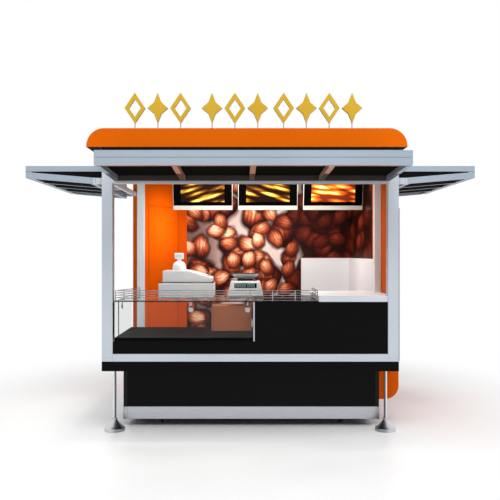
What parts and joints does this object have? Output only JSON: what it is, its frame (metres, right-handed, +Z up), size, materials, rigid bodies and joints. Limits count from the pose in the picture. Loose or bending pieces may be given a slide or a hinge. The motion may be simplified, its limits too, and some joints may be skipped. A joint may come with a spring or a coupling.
{
  "type": "street kiosk",
  "caption": "Open-fronted street kiosk: aluminium frame, orange shell, display counter, lift-up canopies, splayed back corner with an entrance door, roof ornaments on pins.",
  "frame": {"origin": "on the ground at the middle of the plan of the square frame of posts and walls", "axes": "+Z up; the counter front faces -Y; +X is to the right of a customer at the counter"},
  "size_m": [3.684, 3.19, 2.78],
  "materials": {
    "aluminium_frame": "satin anodised",
    "orange_shell": "satin paint",
    "black_panel": "satin paint",
    "black_infill": "matt",
    "brushed_steel": "brushed",
    "chrome_wire": "polished",
    "clear_glass": "clear",
    "white_counter": "polished solid surface",
    "white_plastic": "moulded",
    "screen_black": "gloss",
    "printed_graphic": "printed film on board",
    "box_brown": "matt",
    "castor_black": "moulded",
    "floor_grey": "sheet floor",
    "ornament_yellow": "satin"
  },
  "bodies": {
    "kiosk": {"front_posts": "aluminium_frame", "inner_posts": "aluminium_frame", "bottom_rail": "aluminium_frame", "ring_beam": "aluminium_frame", "canopy_front_frame": "aluminium_frame", "canopy_left_frame": "aluminium_frame", "canopy_right_frame": "aluminium_frame", "canopy_brackets": "aluminium_frame", "divider_edge": "aluminium_frame", "front_legs": "aluminium_frame", "base_corner_profiles": "aluminium_frame", "roof": "orange_shell", "shell_right": "orange_shell", "back_wall": "orange_shell", "side_infills": "orange_shell", "door_surround": "orange_shell", "base_walls": "black_panel", "deck": "black_panel", "front_band": "black_panel", "display_floor": "black_panel", "cabinet_panels": "black_panel", "divider": "black_panel", "counter_front": "black_panel", "header_panels": "black_panel", "canopy_infills": "black_infill", "kick_strips": "brushed_steel", "door_hinges_fixed": "brushed_steel", "scale_tray": "brushed_steel", "wire_gallery": "chrome_wire", "glass_clamps": "chrome_wire", "display_glass": "clear_glass", "glass_worktop": "clear_glass", "counter_top": "white_counter", "splash_panels": "white_counter", "till": "white_plastic", "customer_display": "white_plastic", "scale_body": "white_plastic", "screen_housings": "white_plastic", "screen_hangers": "white_plastic", "screen_glass": "screen_black", "graphic_panels": "printed_graphic", "display_box": "box_brown", "castors": "castor_black", "base_floor": "floor_grey", "roof_ornaments": "ornament_yellow"},
    "door": {"door_leaf": "orange_shell", "door_hinges_moving": "brushed_steel", "door_handles": "brushed_steel"}
  },
  "joints": [
    {"name": "door_hinge", "type": "hinge", "parent": "kiosk", "child": "door", "pos_m": [-1.10349, 0.56148, 1.05], "axis": [0, 0, 1], "range_deg": [0, 100]}
  ]
}
